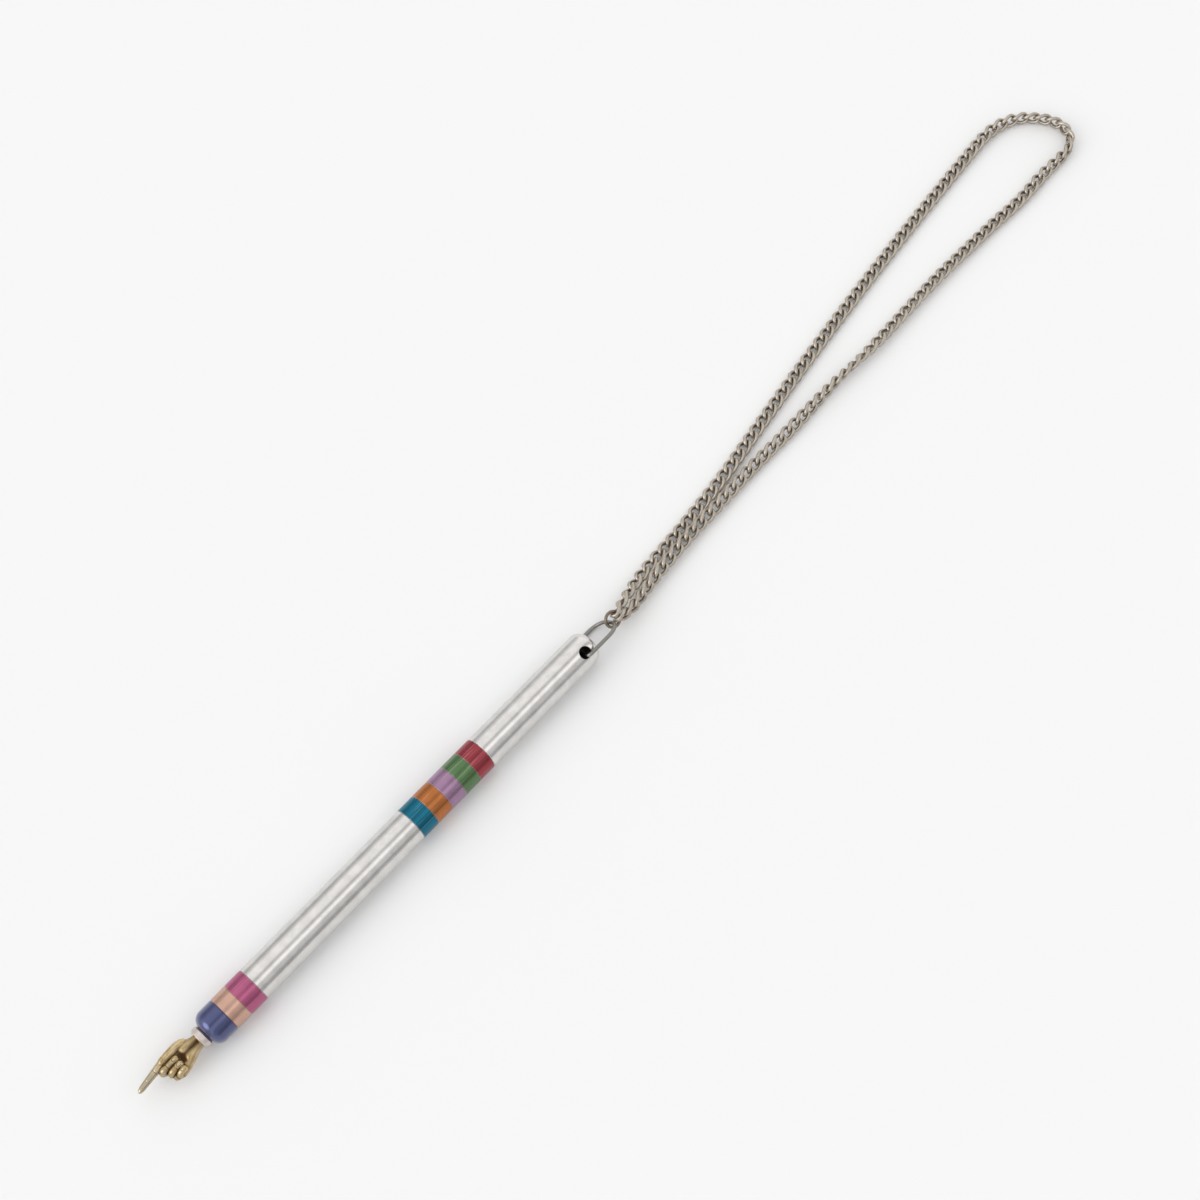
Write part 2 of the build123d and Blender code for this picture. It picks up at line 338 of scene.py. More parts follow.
def noise(tree, place, scale, detail):
    inputs = {"Vector": place, "Scale": scale, "Detail": detail}
    return Socket.node(tree, "ShaderNodeTexNoise", None, inputs)


def bump(tree, height, strength, distance):
    inputs = {"Strength": strength, "Distance": distance, "Height": height}
    return Socket.node(tree, "ShaderNodeBump", None, inputs)


def object_place(tree):
    place = Socket.node(tree, "ShaderNodeTexCoord", output="Object")
    return place, Socket.node(tree, "ShaderNodeSeparateXYZ", None, {0: place})


def attribute(tree, name):
    return Socket.node(tree, "ShaderNodeAttribute", {"attribute_name": name}, output="Fac")


print("materials before the first finish:", len(bpy.data.materials))

# %% [markdown]
# The shafts are turned bright metal: fine rings run round them from the lathe, and faint long
# scratches from handling. Both are finer than a hair, so they are noise in the roughness and bump,
# not geometry, and the lathe's marks are noise along X alone. The dyed rings are the same metal with
# a colour in its skin, thinner on the broken edges, where bare metal shows: those lie nearer to the
# rod's axis than the skin does. The bare edges are partly wear and partly a painted highlight, the
# bright line those edges catch. The bead is lacquered, which is the same again under a clear coat.

# %% Turned metal
BARE = (0.74, 0.72, 0.70)
LATHE_SCALE, CLOUD_SCALE = 5200.0, 320.0
SCRATCH_STRETCH = (60.0, 2600.0, 2600.0)
WORN_AND_HIGHLIT_DEPTH, SKIN_DEPTH, MARK_DEPTH = 0.12 * MM, 0.02 * MM, 0.02 * MM
SHADE = 0.88


# Bare metal on the broken edges is partly wear and partly a painted highlight; the scratches are wear.
def wear_and_edge_highlight(axes, scratch, edge_highlight_and_wear):
    across = axes.other("Y")
    upward = axes.other("Z") - rod_height
    off_axis = across.math("SQRT", across * across + upward * upward)
    bare_edge_highlight = 1.0 - smooth_step(off_axis, rod_radius - WORN_AND_HIGHLIT_DEPTH, rod_radius - SKIN_DEPTH)
    return bare_edge_highlight * edge_highlight_and_wear + smooth_step(scratch, 0.62, 0.72) * (0.35 * edge_highlight_and_wear)


def turned_metal(name, colour, roughness, metallic=1.0, coat=0.0, edge_highlight_and_wear=0.0, coat_rough=0.12):
    material, tree, surface = new_material(name)
    place, axes = object_place(tree)
    marks = {"W": axes, "Scale": LATHE_SCALE, "Detail": 3.0}
    lathe = Socket.node(tree, "ShaderNodeTexNoise", {"noise_dimensions": "1D"}, marks)
    stretch = {"Vector": place, "Scale": SCRATCH_STRETCH}
    scratch = noise(tree, Socket.node(tree, "ShaderNodeMapping", None, stretch), 1.0, 2.0)
    cloud = noise(tree, place, CLOUD_SCALE, 4.0)
    skin = blend(tree, smooth_step(cloud, 0.3, 0.7), [channel * SHADE for channel in colour], colour)
    if edge_highlight_and_wear:
        skin = blend(tree, wear_and_edge_highlight(axes, scratch, edge_highlight_and_wear), skin, BARE)
    link_up(tree, skin, surface, "Base Color")
    rough = roughness - 0.05 + lathe * 0.07 + cloud * 0.04 + smooth_step(scratch, 0.6, 0.75) * 0.08
    link_up(tree, rough, surface, "Roughness")
    link_up(tree, bump(tree, lathe + scratch * 0.6, 0.06, MARK_DEPTH), surface, "Normal")
    surface.inputs["Metallic"].default_value = metallic
    surface.inputs["Coat Weight"].default_value = coat
    surface.inputs["Coat Roughness"].default_value = coat_rough
    return material


print("lathe marks, mm apart:", round(1 / LATHE_SCALE / MM, 2))

# %% Bright metal, dyes and lacquer
DYES = {
    "peach": (0.61, 0.375, 0.29),
    "magenta": (0.45, 0.112, 0.222),
    "teal": (0.009, 0.145, 0.228),
    "orange": (0.46, 0.158, 0.045),
    "lilac": (0.355, 0.212, 0.335),
    "green": (0.108, 0.2, 0.086),
    "red": (0.32, 0.05, 0.064),
}
COLLAR, NAVY = (0.70, 0.63, 0.59), (0.055, 0.066, 0.185)
bright_metal = turned_metal("bright_turned_metal", BARE, 0.2)
collar_metal = turned_metal("satin_collar_metal", COLLAR, 0.42)
dyed = {}
for dye, colour in DYES.items():
    dyed[dye] = turned_metal(dye + "_dye", colour, 0.25, metallic=0.92, coat=0.12, edge_highlight_and_wear=0.5)
navy_lacquer = turned_metal("navy_lacquer", NAVY, 0.2, metallic=0.8, coat=1.0, coat_rough=0.24)

# %% [markdown]
# The chain and the wires are plated, with fine dark specks. The inner side of each link is painted
# darker: painted shade where the links cover each other. That shade could be painted into an image,
# but the links are made by a tree, so the tree itself stores the inner side, and a tone for each
# link, as attributes for the finish to read. The wall of the cross hole takes the same finish in
# near black, painted shade for the inside of the hole, and the hidden stud takes it in steel grey.

# %% Chain, wire and stud finishes
SPECKLE_SCALE, PIT_DEPTH = 1400.0, 0.03 * MM


def plated_wire(name, colour, dark, roughness, by_link=False):
    material, tree, surface = new_material(name)
    place, _ = object_place(tree)
    speckle = noise(tree, place, SPECKLE_SCALE, 4.0)
    grime_and_shade = smooth_step(speckle, 0.5, 0.75) * 0.35
    if by_link:
        # Painted shade: the inner side of each link is darkened where the links cover each other.
        inner = smooth_step(attribute(tree, "inner"), -0.1, 0.8)
        grime_and_shade = grime_and_shade + inner * 0.72 + attribute(tree, "tone") * 0.16
    link_up(tree, blend(tree, grime_and_shade, colour, dark), surface, "Base Color")
    link_up(tree, roughness + speckle * 0.14, surface, "Roughness")
    link_up(tree, bump(tree, speckle, 0.12, PIT_DEPTH), surface, "Normal")
    surface.inputs["Metallic"].default_value = 1.0
    return material


chain_metal = plated_wire("plated_chain", (0.53, 0.475, 0.405), (0.18, 0.142, 0.108), 0.3, by_link=True)
wire_metal = plated_wire("drawn_wire", (0.27, 0.26, 0.24), (0.10, 0.09, 0.08), 0.24)
ring_metal = plated_wire("ring_plating", (0.24, 0.195, 0.15), (0.07, 0.05, 0.035), 0.26)
stud_metal = plated_wire("stud_steel", (0.52, 0.52, 0.52), (0.3, 0.29, 0.28), 0.35)
# Near black: painted shade for the inside of the cross hole.
hole_shade_metal = plated_wire("hole_wall_shade", (0.05, 0.045, 0.04), (0.015, 0.013, 0.012), 0.5)

# %% [markdown]
# One tree makes the chain. A link could be modelled by hand and copied, but it follows a rule: the
# tree wrings a circle of points into the link's oval, sweeps a small round section along it, and
# hangs a copy on every point with that point's turn. Its faces are few, because the link is repeated
# along the whole chain.

# %% One link of the chain
chain_sizes = {"Half length": FLOAT, "Half width": FLOAT, "Wring": FLOAT, "Wire radius": FLOAT}
chain_sizes |= {"Stations": WHOLE, "Sides": WHOLE, "Seed": WHOLE, "Material": MATERIAL}
chain_tree, size = new_tree("curb_chain", chain_sizes)
spot = Socket.node(chain_tree, "GeometryNodeInputPosition")
flat = Socket.node(chain_tree, "ShaderNodeSeparateXYZ", None, {0: spot})
wrung = (0.0 - flat) * size["Wring"]
reach = flat.other("Y") * size["Half width"]
places = {"X": flat * size["Half length"]}
places |= {"Y": reach * wrung.math("COSINE", wrung), "Z": reach * wrung.math("SINE", wrung)}
moved = Socket.node(chain_tree, "ShaderNodeCombineXYZ", None, places)
oval = {"Geometry": circle(chain_tree, size["Stations"], 1.0), "Position": moved}
wire_line = Socket.node(chain_tree, "GeometryNodeSetPosition", None, oval)
link = sweep(chain_tree, wire_line, circle(chain_tree, size["Sides"], size["Wire radius"]))
print("nodes for one link:", len(chain_tree.nodes))

# %% The link's inner side, its copies and their tones
# The inner side is stored so that the finish can paint shade there.
normal = Socket.node(chain_tree, "GeometryNodeInputNormal")
outward = Socket.node(chain_tree, "ShaderNodeVectorMath", {"operation": "NORMALIZE"}, {0: spot})
both = {0: normal, 1: outward}
facing_out = Socket.node(chain_tree, "ShaderNodeVectorMath", {"operation": "DOT_PRODUCT"}, both, "Value")
stored = {"Geometry": link, "Name": "inner", "Value": 0.0 - facing_out}
by_point = {"data_type": "FLOAT", "domain": "POINT"}
link = Socket.node(chain_tree, "GeometryNodeStoreNamedAttribute", by_point, stored)
turns = {"data_type": "FLOAT_VECTOR"}
turn_read = Socket.node(chain_tree, "GeometryNodeInputNamedAttribute", turns, {"Name": "turn"})
turned_by = Socket.node(chain_tree, "FunctionNodeEulerToRotation", None, {0: turn_read})
hung = {"Points": size["Geometry"], "Instance": link, "Rotation": turned_by}
hung = Socket.node(chain_tree, "GeometryNodeInstanceOnPoints", None, hung)
one_number = {"data_type": "FLOAT"}
tone = Socket.node(chain_tree, "FunctionNodeRandomValue", one_number, {"Seed": size["Seed"]}, 1)
stored = {"Geometry": hung, "Name": "tone", "Value": tone}
by_copy = {"data_type": "FLOAT", "domain": "INSTANCE"}
hung = Socket.node(chain_tree, "GeometryNodeStoreNamedAttribute", by_copy, stored)
close_tree(chain_tree, hung, size["Material"])

# %% The curb chain
link_points = point_mesh("link_points", link_places)
turn_store = link_points.attributes.new("turn", "FLOAT_VECTOR", "POINT")
for kept, turn in zip(turn_store.data, link_turns):
    kept.vector = turn
chain_values = {"Half length": half_length * MM, "Half width": half_width * MM, "Wring": LINK_WRING}
chain_values |= {"Wire radius": LINK_WIRE / 2 * MM, "Stations": 18, "Sides": 7, "Seed": 4}
chain = run_tree("curb_chain", chain_tree, link_points, chain_values | {"Material": chain_metal})
chain.data.shade_smooth()
print("faces for each link:", len(chain.data.polygons) // link_count)

# %% [markdown]
# The wire loop and the jump ring are bent from round wire. A bevelled curve could make them, but
# their corners are bent to different radii, so a second tree rounds the corners of a line of points,
# each by its own bend, and sweeps a round section along it. The loop's bar lies in the cross hole,
# and the jump ring is cut once, as such rings are.

# %% The bent wire's tree
WIRE_SIDES = 20
wire_tree, size = new_tree("bent_wire", {"Wire radius": FLOAT, "Bend steps": WHOLE, "Material": MATERIAL})
bend = Socket.node(wire_tree, "GeometryNodeInputNamedAttribute", one_number, {"Name": "bend"})
corners = Socket.node(wire_tree, "GeometryNodeMeshToCurve", None, {"Mesh": size["Geometry"]})
rounded = {"Curve": corners, "Count": size["Bend steps"], "Radius": bend, "Limit Radius": True}
rounded = Socket.node(wire_tree, "GeometryNodeFilletCurve", {"mode": "POLY"}, rounded)
swept = sweep(wire_tree, rounded, circle(wire_tree, WIRE_SIDES, size["Wire radius"]), caps=True)
close_tree(wire_tree, swept, size["Material"])


def bent_wire(name, points, bends, closed, wire_radius, material):
    edges = [(index, index + 1) for index in range(len(points) - 1)]
    if closed:
        edges.append((len(points) - 1, 0))
    mesh = point_mesh(name, points, edges)
    bend_store = mesh.attributes.new("bend", "FLOAT", "POINT")
    for kept, value in zip(bend_store.data, bends):
        kept.value = value
    values = {"Wire radius": wire_radius, "Bend steps": 12, "Material": material}
    piece = run_tree(name, wire_tree, mesh, values)
    piece.data.shade_smooth()
    return piece


# %% The wire loop
LOOP_WIRE_RADIUS, LOOP_CLEARANCE = 0.55 * MM, 0.7 * MM
HOLE_BEND, FAR_BEND = 1.2 * MM, 4.5 * MM
swing = {joint["name"]: joint for joint in frame["joints"]}
loop_pivot = Vector(swing["loop_swing"]["pos_m"])
loop_axis = Vector(swing["loop_swing"]["axis"]).normalized()
ring_pivot = Vector(swing["chain_swing"]["pos_m"])
half_span = loop_axis * (rod_radius + LOOP_CLEARANCE)
loop_corners = [loop_pivot + half_span, ring_pivot + half_span]
loop_corners += [ring_pivot - half_span, loop_pivot - half_span]
loop_bends = [HOLE_BEND, FAR_BEND, FAR_BEND, HOLE_BEND]
wire_loop = bent_wire("wire_loop_round", loop_corners, loop_bends, True, LOOP_WIRE_RADIUS, wire_metal)

# %% The jump ring
RING_RADIUS, RING_WIRE_RADIUS = 2.2 * MM, 0.45 * MM
CUT_AT, RING_SWEEP, RING_STEPS = 30, 358.4, 72
ring_middle = Vector((ring_x, 0, rod_height))
ring_ahead = Vector((1, 0, 0))
ring_side = loop_axis.cross(ring_ahead)
ring_points = []
for step in range(RING_STEPS + 1):
    a = math.radians(CUT_AT + RING_SWEEP * step / RING_STEPS)
    ring_points.append(ring_middle + (ring_ahead * math.cos(a) + ring_side * math.sin(a)) * RING_RADIUS)
no_bends = [0.0] * len(ring_points)
jump_ring = bent_wire("jump_ring_round", ring_points, no_bends, False, RING_WIRE_RADIUS, ring_metal)

# %% [markdown]
# Every coloured ring in the stack follows one rule: a bored disc of bar with its corners broken. A
# bevelled cylinder could do, but one tree makes them all from their boxes: it sweeps the ring's cut
# section round a circle. The edges of the broken corners stay sharp, so that they catch a thin line
# of light.

# %% The stacked ring's tree
ROUND_STEPS = 144
ring_sizes = {"Middle": FLOAT, "Length": FLOAT, "Bore": FLOAT, "Radius": FLOAT, "Corner": FLOAT}
ring_tree, size = new_tree("stacked_ring", ring_sizes | {"Height": FLOAT, "Material": MATERIAL})
wall = {"Width": size["Radius"] - size["Bore"], "Height": size["Length"]}
cut = Socket.node(ring_tree, "GeometryNodeCurvePrimitiveQuadrilateral", None, wall)
broken = {"Curve": cut, "Count": 1, "Radius": size["Corner"]}
cut = Socket.node(ring_tree, "GeometryNodeFilletCurve", {"mode": "POLY"}, broken)
body = sweep(ring_tree, circle(ring_tree, ROUND_STEPS, (size["Radius"] + size["Bore"]) * 0.5), cut)
middle = {"X": size["Middle"], "Z": size["Height"]}
middle = Socket.node(ring_tree, "ShaderNodeCombineXYZ", None, middle)
laid = {"Geometry": body, "Translation": middle, "Rotation": (0.0, math.pi / 2, 0.0)}
laid = Socket.node(ring_tree, "GeometryNodeTransform", None, laid)
close_tree(ring_tree, laid, size["Material"])

# %% Stacked rings
RING_BORE, EDGE_BREAK, COLLAR_BREAK = 1.6 * MM, 0.16 * MM, 0.45 * MM


def sharpen(mesh, degrees=30.0):
    mesh.shade_smooth()
    mesh.set_sharp_from_angle(angle=math.radians(degrees))


def settle(piece, body, slot, *nodes):
    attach(piece, body)
    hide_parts(*nodes)


def stacked_ring(node, material, slot, corner):
    low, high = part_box(node)
    values = {"Middle": (low.x + high.x) / 2, "Length": high.x - low.x, "Bore": RING_BORE}
    values |= {"Radius": (high.z - low.z) / 2, "Corner": corner, "Height": rod_height}
    piece = run_tree(node + "_turned", ring_tree, point_mesh(node, []), values | {"Material": material})
    sharpen(piece.data)
    settle(piece, "pointer", slot, node)


for dye in DYES:
    stacked_ring(dye + "_ring", dyed[dye], dye, EDGE_BREAK)
stacked_ring("wrist_collar", collar_metal, "silver", COLLAR_BREAK)

# %% [markdown]
# The bead and the two shafts are turned too, but each has its own outline. A Screw modifier could
# spin them, but mesh code gives each end one clean point on the axis, so they are spun there from
# half sections: points from one end of the axis to the other, swept right round, with a single
# point wherever the outline meets the axis.

# %% Spinning an outline
def as_mesh(name, shape):
    made = bpy.data.meshes.new(name)
    shape.to_mesh(made)
    shape.free()
    return made


def spun(name, outline, material):
    shape = bmesh.new()
    loops = []
    for along, radius in outline:
        if radius == 0.0:
            loops.append([shape.verts.new((along, 0.0, rod_height))])
            continue
        loop = []
        for step in range(ROUND_STEPS):
            a = 2 * math.pi * step / ROUND_STEPS
            loop.append(shape.verts.new((along, radius * math.cos(a), rod_height + radius * math.sin(a))))
        loops.append(loop)
    for here, there in zip(loops, loops[1:]):
        for step in range(ROUND_STEPS):
            after = (step + 1) % ROUND_STEPS
            first = [here[step % len(here)], here[after % len(here)]]
            second = [there[after % len(there)], there[step % len(there)]]
            shape.faces.new(list(dict.fromkeys(first + second)))
    bmesh.ops.recalc_face_normals(shape, faces=shape.faces)
    made = as_mesh(name, shape)
    sharpen(made)
    made.materials.append(material)
    print(name, "faces:", len(made.polygons))
    return add_piece(name, made)


print("faces round a turned piece:", ROUND_STEPS)

# %% Bead and shafts
BEAD_ROUNDING, DOME_ROUNDING = 2.8 * MM, 3.2 * MM


def rounding(end, inward, radius, steps):
    turns = [math.pi / 2 * step / steps for step in range(steps + 1)]
    base = rod_radius - radius
    return [(end + inward * radius * (1 - math.cos(a)), base + radius * math.sin(a)) for a in turns]


def square_start(start):
    return [(start, 0.0), (start, rod_radius - EDGE_BREAK), (start + EDGE_BREAK, rod_radius)]


def square_end(end):
    return [(end - EDGE_BREAK, rod_radius), (end, rod_radius - EDGE_BREAK), (end, 0.0)]


bead_front = [(bead_low.x, 0.0), *rounding(bead_low.x, 1, BEAD_ROUNDING, 18)]
bead = spun("nose_bead_turned", bead_front + square_end(bead_high.x), navy_lacquer)
settle(bead, "pointer", "navy", "nose_bead")

low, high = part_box("lower_shaft")
lower_shaft = spun("lower_shaft_turned", square_start(low.x) + square_end(high.x), bright_metal)
settle(lower_shaft, "pointer", "silver", "lower_shaft")

low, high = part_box("upper_shaft")
dome = [(high.x, 0.0), *rounding(high.x, -1, DOME_ROUNDING, 20)]
loops_by_hole = [(loop_pivot.x - back, rod_radius) for back in (4.0 * MM, 2.4 * MM)]
upper_shaft = spun("upper_shaft_turned", square_start(low.x) + loops_by_hole + dome[::-1], bright_metal)

# %% [markdown]
# The cross hole leans a little, and goes through the dome's start. Its rim runs over two curved
# surfaces, which is slow to model by hand, so a round cutter takes it out with a Boolean modifier,
# and leaves its own near-black finish on the hole's wall, painted shade for the dark inside of the
# hole. Two loops of points on the shaft end its long faces short of the hole. The result is kept as
# a plain mesh.

# %% Cross hole
HOLE_RADIUS, CUTTER_LENGTH = 1.8 * MM, 20 * MM
hole_lean = math.radians(28.5)
hole_axis = Vector((0, -math.sin(hole_lean), math.cos(hole_lean)))


def add_bar(shape, radius, length, sides, lie):
    ends = {"cap_ends": True, "segments": sides, "radius1": radius, "radius2": radius}
    made = bmesh.ops.create_cone(shape, depth=length, **ends)
    bmesh.ops.transform(shape, matrix=lie, verts=made["verts"])


shape = bmesh.new()
leaning = hole_axis.to_track_quat("Z", "Y").to_matrix().to_4x4()
add_bar(shape, HOLE_RADIUS, CUTTER_LENGTH, 72, Matrix.Translation(loop_pivot) @ leaning)
cutter = add_piece("hole_cutter", as_mesh("hole_cutter", shape))
# The cutter's near-black finish, painted shade, is carried onto the hole's wall.
cutter.data.materials.append(hole_shade_metal)
cutting = upper_shaft.modifiers.new("cross_hole", "BOOLEAN")
cutting.object = cutter
cutting.solver = "EXACT"
cutting.material_mode = "TRANSFER"
drilled = plain_mesh(upper_shaft)
upper_shaft.modifiers.clear()
upper_shaft.data = drilled
bpy.data.objects.remove(cutter)
sharpen(drilled)
settle(upper_shaft, "pointer", "silver", "upper_shaft")
print("drilled shaft faces:", len(drilled.polygons))

# %% [markdown]
# The hand is a small casting: palm up, index finger out, the other fingers folded, the thumb along
# the index. It could be sculpted, but a script places points better than it sculpts, so each limb
# is a tube of oval rings, given in mm from the wrist: ahead, aside, up, half width, half thickness.

# %% The hand's limbs
tail_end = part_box("hand")[1].x
wrist_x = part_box("wrist_collar")[0].x
HAND_LENGTH, FINGER_RADIUS = 18.5, 0.88
PALM = [(0.0, 0.0, 0.0, 1.9, 1.7), (1.6, 0.0, 0.0, 2.3, 1.8), (4.2, 0.15, -0.05, 3.5, 2.0)]
PALM += [(7.0, 0.05, -0.15, 3.95, 1.9), (9.4, 0.0, -0.4, 3.65, 1.5), (10.3, 0.0, -0.5, 3.1, 0.9)]
INDEX = [(6.0, 2.6, -0.2, 1.15, 1.25), (10.0, 2.5, 0.0, 1.2, 1.2), (12.8, 2.2, 0.05, 1.02, 1.02)]
INDEX += [(15.6, 1.8, 0.1, 0.88, 0.88), (17.3, 1.55, 0.1, 0.78, 0.78), (18.2, 1.42, 0.1, 0.5, 0.5)]
INDEX += [(HAND_LENGTH, 1.42, 0.1, 0.18, 0.18)]
THUMB = [(2.4, 2.2, 0.5, 0.9, 0.9), (4.4, 2.6, 1.0, 1.25, 1.2), (7.4, 2.5, 1.7, 1.1, 1.05)]
THUMB += [(9.6, 2.35, 2.0, 0.95, 0.9), (10.4, 2.3, 2.05, 0.5, 0.45)]
FOLDED = [(12.2, 0.45), (10.9, -1.3), (9.5, -2.95)]


def folded_finger(front, side):
    r = FINGER_RADIUS
    way = [(front - 1.8, -1.0), (front - 1.05, -0.6), (front - 0.88, 0.35)]
    way += [(front - 1.25, 1.2), (front - 2.1, 1.6), (6.7, 1.6)]
    root = [(3.9, 0.72 * side, -0.35, 0.3 * r, 0.3 * r), (5.2, 0.9 * side, -0.75, 0.75 * r, 0.75 * r)]
    bent = [(ahead, side, up, r, r) for ahead, up in way]
    return root + bent + [(6.1, side, 1.55, 0.5 * r, 0.5 * r)]


limbs = [PALM, INDEX, THUMB, *[folded_finger(front, side) for front, side in FOLDED]]
print("limbs:", len(limbs), "rings:", sum(len(stations) for stations in limbs))

# %% [markdown]
# A smooth curve is drawn through each limb's few rings, and the rings along it become a closed tube.
# The tubes overlap like parts of a wax model. Joined and remeshed into one skin they flow into each
# other as cast metal does, where a Boolean union would leave hard seams, and a smoothing pass takes
# the last steps off.

# %% Tubes along the limbs
LIMB_STEPS, LIMB_SIDES = 5, 24


def between(stations, steps):
    filled = []
    for index in range(len(stations) - 1):
        four = [stations[min(max(index + k, 0), len(stations) - 1)] for k in (-1, 0, 1, 2)]
        for step in range(steps):
            t = step / steps
            weights = [-t + 2 * t**2 - t**3, 2 - 5 * t**2 + 3 * t**3]
            weights += [t + 4 * t**2 - 3 * t**3, t**3 - t**2]
            filled.append([sum(w * s[k] for w, s in zip(weights, four)) / 2 for k in range(5)])
    return filled + [list(stations[-1])]


def add_limb(shape, stations):
    filled = between(stations, LIMB_STEPS)
    centres = [Vector((wrist_x - s[0] * MM, s[1] * MM, rod_height + s[2] * MM)) for s in filled]
    loops = []
    for index, (_, _, _, wide, thick) in enumerate(filled):
        forward = (centres[min(index + 1, len(centres) - 1)] - centres[max(index - 1, 0)]).normalized()
        across = (Vector((0, 1, 0)) - forward * forward.y).normalized()
        through = forward.cross(across)
        loop = []
        for side in range(LIMB_SIDES):
            a = 2 * math.pi * side / LIMB_SIDES
            spoke = across * (wide * math.cos(a)) + through * (thick * math.sin(a))
            loop.append(shape.verts.new(centres[index] + spoke * MM))
        loops.append(loop)
    for here, there in zip(loops, loops[1:]):
        for side in range(LIMB_SIDES):
            after = (side + 1) % LIMB_SIDES
            shape.faces.new((here[side], here[after], there[after], there[side]))
    shape.faces.new(list(reversed(loops[0])))
    shape.faces.new(loops[-1])


shape = bmesh.new()
for stations in limbs:
    add_limb(shape, stations)
bmesh.ops.recalc_face_normals(shape, faces=shape.faces)
print("tubes:", len(limbs), "faces:", len(shape.faces))

# %% One skin
VOXEL, CAST_SMOOTHING = 0.08 * MM, 9


def add_smoothing(piece, iterations):
    smooth = piece.modifiers.new("smooth", "SMOOTH")
    smooth.factor = 0.5
    smooth.iterations = iterations


casting = add_piece("casting", as_mesh("limbs", shape))
remesh = casting.modifiers.new("one_skin", "REMESH")
remesh.mode = "VOXEL"
remesh.voxel_size = VOXEL
add_smoothing(casting, CAST_SMOOTHING)
hand_mesh = plain_mesh(casting)
bpy.data.objects.remove(casting)
print("hand skin faces:", len(hand_mesh.polygons))

# %% [markdown]
# A caster cuts the lines of the hand into the wax: the hollow of the palm from the wrist to the
# folded fingertips, a line across each joint, and the rims of the nails. A bump could only paint
# them, so the skin's points that face upwards are lowered near those lines, most on the line and
# less beside it. Each line is given with its width and its depth, in mm.

# %% Lines of the palm, joints and nails
CREASES = [([(0.6, -0.3), (2.8, -0.3), (5.0, -0.5)], 0.95, 0.42), ([(5.3, 0.8), (5.4, -1.5)], 0.85, 0.4)]
CREASES += [([(12.4, 1.2), (12.5, 3.2)], 0.15, 0.1), ([(15.2, 0.9), (15.3, 2.8)], 0.14, 0.09)]
for front, side in FOLDED:
    CREASES.append(([(front - 2.7, side - 0.7), (front - 2.7, side + 0.7)], 0.14, 0.09))
NAILS = [(7.1, side, 0.62, 0.48) for _, side in FOLDED] + [(9.4, 2.5, 0.72, 0.55)]
NAIL_DEPTH, NAIL_RIM = 0.09, 0.22
CUT_FROM, CUT_FULL = 0.1, 0.5


def clamped(value, low, high):
    return min(max(value, low), high)


def from_line(spot, line):
    gaps = []
    for start, end in zip(line, line[1:]):
        start, run = Vector(start), Vector(end) - Vector(start)
        share = clamped((spot - start).dot(run) / run.length_squared, 0.0, 1.0)
        gaps.append((spot - start - run * share).length)
    return min(gaps)


def carved(spot):
    depth = sum(deep * math.exp(-((from_line(spot, line) / wide) ** 2)) for line, wide, deep in CREASES)
    for ahead, side, half_long, half_wide in NAILS:
        rim = math.hypot((spot.x - ahead) / half_long, (spot.y - side) / half_wide) - 1.0
        depth += NAIL_DEPTH * math.exp(-((rim / NAIL_RIM) ** 2))
    return depth


lowered = []
depths = []
for vertex in hand_mesh.vertices:
    upward = clamped((vertex.normal.z - CUT_FROM) / (CUT_FULL - CUT_FROM), 0.0, 1.0)
    spot = Vector(((wrist_x - vertex.co.x) / MM, vertex.co.y / MM))
    depths.append(upward * carved(spot) if upward else 0.0)
    lowered += [vertex.co.x, vertex.co.y, vertex.co.z - depths[-1] * MM]
hand_mesh.vertices.foreach_set("co", lowered)
hand_mesh.update()
print("lines and nails cut into the hand:", len(CREASES), len(NAILS), "deepest, mm:", round(max(depths), 2))

# %% [markdown]
# Old brass is bright where it is handled and brown in its folds: partly patina, and partly painted
# shade for the shadow that falls in the folds. A fold is where a much smoother copy of the skin lies
# above the skin itself, or where the lines were cut. That height is stored as an attribute for the
# finish to read, because it stays with the skin under any light.

# %% Folds
SOFT_SMOOTHING, FOLD_HEIGHT, CUT_SHARE = 85, 0.2, 0.15
soft = add_piece("soft_skin", hand_mesh.copy())
add_smoothing(soft, SOFT_SMOOTHING)
soft_mesh = plain_mesh(soft)
bpy.data.objects.remove(soft)
heights = []
for vertex, above, depth in zip(hand_mesh.vertices, soft_mesh.vertices, depths):
    rise = (above.co - vertex.co).dot(vertex.normal) / MM
    heights.append((rise + CUT_SHARE * depth) / FOLD_HEIGHT)
fold = hand_mesh.attributes.new("fold", "FLOAT", "POINT")
fold.data.foreach_set("value", [clamped(height, -1.0, 1.0) for height in heights])
print("deepest fold, mm:", round(max(heights) * FOLD_HEIGHT, 2))

# %% [markdown]
# The brass itself is a blend of a dull and a bright tone in clouds. The tucked fingers and the wrist
# by the collar are browner still, partly patina and partly painted shade between the fingers and
# against the collar, and the pointing finger, rubbed most, has lost some yellow. Those places are
# told apart by Object coordinates, since the hand doesn't bend.

# %% Brass finish
BRASS_DULL, BRASS_BRIGHT = (0.45, 0.328, 0.166), (0.67, 0.535, 0.325)
BRASS_RUBBED, BRASS_BROWN = (0.47, 0.42, 0.325), (0.066, 0.034, 0.012)
STAIN_SCALE, GRAIN_SCALE, GRAIN_DEPTH = 420.0, 3200.0, 0.04 * MM
brass, tree, surface = new_material("old_brass")
place, axes = object_place(tree)
cloud = noise(tree, place, STAIN_SCALE, 5.0)
grain = noise(tree, place, GRAIN_SCALE, 3.0)
